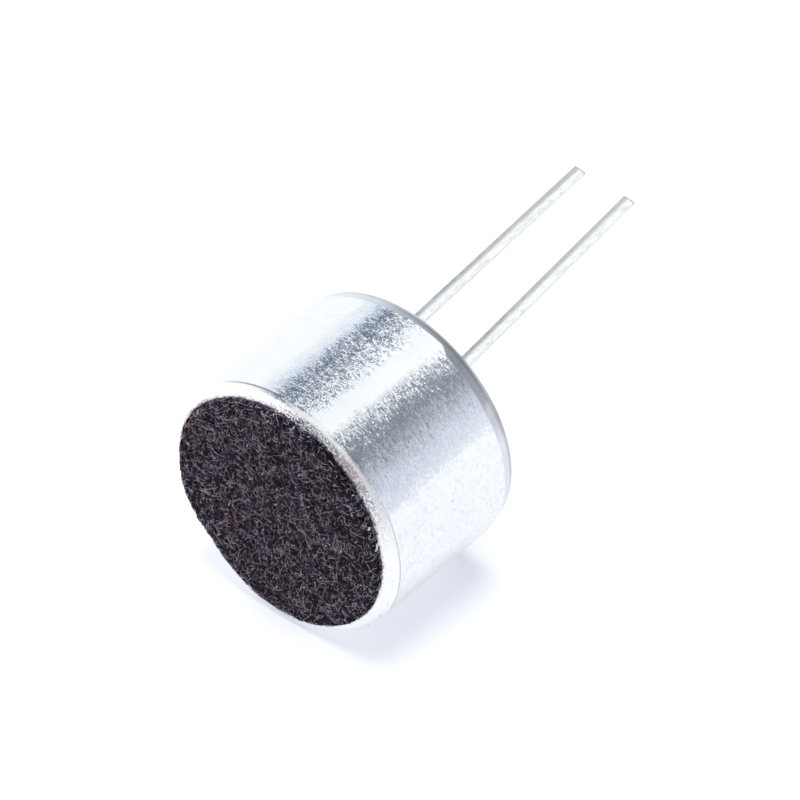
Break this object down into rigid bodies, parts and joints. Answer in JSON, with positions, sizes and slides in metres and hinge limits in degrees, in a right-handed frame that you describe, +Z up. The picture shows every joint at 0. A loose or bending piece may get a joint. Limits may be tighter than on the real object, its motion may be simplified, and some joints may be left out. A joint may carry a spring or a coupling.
{
  "type": "electret microphone capsule",
  "caption": "Small cylindrical aluminium microphone capsule with a black felt front, a rolled rear lip closed by a circuit board, and flat metal leads that solder into a board.",
  "frame": {"origin": "centre of the rear seating plane, which is the flat of the can's rolled lip", "axes": "the capsule lies on its side: +Y along its axis from the felt front towards the leads, +Z up towards the row of leads, +X across the row towards the ground lead"},
  "size_m": [0.0098, 0.0176, 0.0096],
  "materials": {
    "can_metal": "satin, slightly sparkling",
    "felt": "non-woven felt",
    "adhesive": "tacky film",
    "brass": "stamped",
    "film": "thin film",
    "spacer_film": "thin film",
    "chamber_plastic": "moulded",
    "board": "coated laminate",
    "copper": "etched copper",
    "fet_plastic": "moulded",
    "tinned_leg": "tin plated",
    "tinned_lead": "tin plated, slightly rough",
    "solder": "reflowed solder"
  },
  "bodies": {
    "root": {"can": "can_metal", "dust_felt": "felt", "felt_adhesive": "adhesive", "diaphragm_ring": "brass", "diaphragm": "film", "spacer": "spacer_film", "electret_film": "film", "back_plate": "brass", "chamber": "chamber_plastic", "gate_ring": "brass", "circuit_board": "board", "gate_copper": "copper", "output_copper": "copper", "ground_copper": "copper", "fet_body": "fet_plastic", "fet_gate_lead": "tinned_leg", "fet_drain_lead": "tinned_leg", "fet_source_lead": "tinned_leg", "fet_solder": "solder", "pin_output": "tinned_lead", "pin_ground": "tinned_lead", "solder_output": "solder", "solder_ground": "solder"}
  },
  "joints": []
}
